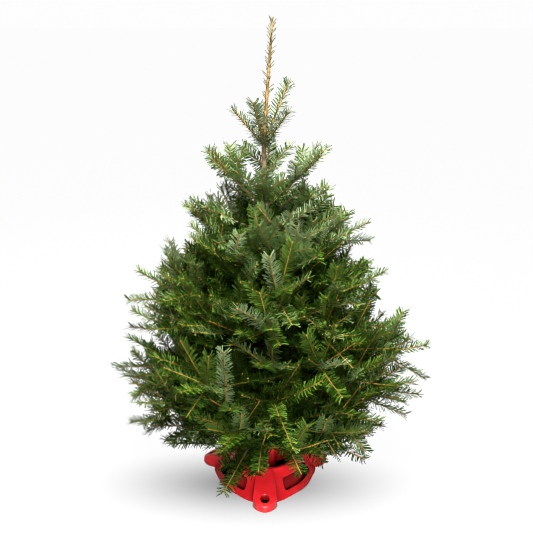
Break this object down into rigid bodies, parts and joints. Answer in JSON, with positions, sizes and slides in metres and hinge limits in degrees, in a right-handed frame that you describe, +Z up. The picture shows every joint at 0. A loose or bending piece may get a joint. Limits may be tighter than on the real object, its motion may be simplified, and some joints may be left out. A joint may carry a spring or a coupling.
{
  "type": "cut christmas tree in a stand",
  "caption": "Cut young fir with a dense conical crown and a bare leader, standing in a red moulded plastic stand with round-toed feet, peg holes and a central socket.",
  "frame": {"origin": "middle of the stand's flat underside, on the tree's axis", "axes": "+Z up along the trunk, -Y towards the front, where one of the stand's three feet points, +X to the right"},
  "size_m": [1.0033, 1.0158, 1.5001],
  "materials": {
    "red_plastic": "red moulded polypropylene with a soft gloss",
    "bark": "grey-brown bark, orange-brown on the youngest wood",
    "needles": "dark green needles with paler undersides"
  },
  "bodies": {
    "root": {"stand": "red_plastic", "tier1_foliage_1": "needles", "tier1_foliage_2": "needles", "tier1_foliage_3": "needles", "tier1_foliage_4": "needles", "tier2_bough_1": "bark", "tier2_bough_2": "bark", "tier2_bough_3": "bark", "tier2_bough_4": "bark", "tier2_bough_5": "bark", "tier2_bough_6": "bark", "tier2_foliage_1": "needles", "tier2_foliage_2": "needles", "tier2_foliage_3": "needles", "tier2_foliage_4": "needles", "tier2_foliage_5": "needles", "tier2_foliage_6": "needles", "tier3_bough_1": "bark", "tier3_bough_2": "bark", "tier3_bough_3": "bark", "tier3_bough_4": "bark", "tier3_bough_5": "bark", "tier3_bough_6": "bark", "tier3_foliage_1": "needles", "tier3_foliage_2": "needles", "tier3_foliage_3": "needles", "tier3_foliage_4": "needles", "tier3_foliage_5": "needles", "tier3_foliage_6": "needles", "tier4_foliage_1": "needles", "tier4_foliage_2": "needles", "tier4_foliage_3": "needles", "tier4_foliage_4": "needles", "tier4_foliage_5": "needles", "tier4_foliage_6": "needles", "tier5_foliage_1": "needles", "tier5_foliage_2": "needles", "tier5_foliage_3": "needles", "tier5_foliage_4": "needles", "tier5_foliage_5": "needles", "tier5_foliage_6": "needles", "tier6_foliage_1": "needles", "tier6_foliage_2": "needles", "tier6_foliage_3": "needles", "tier6_foliage_4": "needles", "tier6_foliage_5": "needles", "tier6_foliage_6": "needles", "tier7_foliage_1": "needles", "tier7_foliage_2": "needles", "tier7_foliage_3": "needles", "tier7_foliage_4": "needles", "tier7_foliage_5": "needles", "tier7_foliage_6": "needles", "tier8_foliage_1": "needles", "tier8_foliage_2": "needles", "tier8_foliage_3": "needles", "tier8_foliage_4": "needles", "tier8_foliage_5": "needles", "trunk": "bark"}
  },
  "joints": []
}
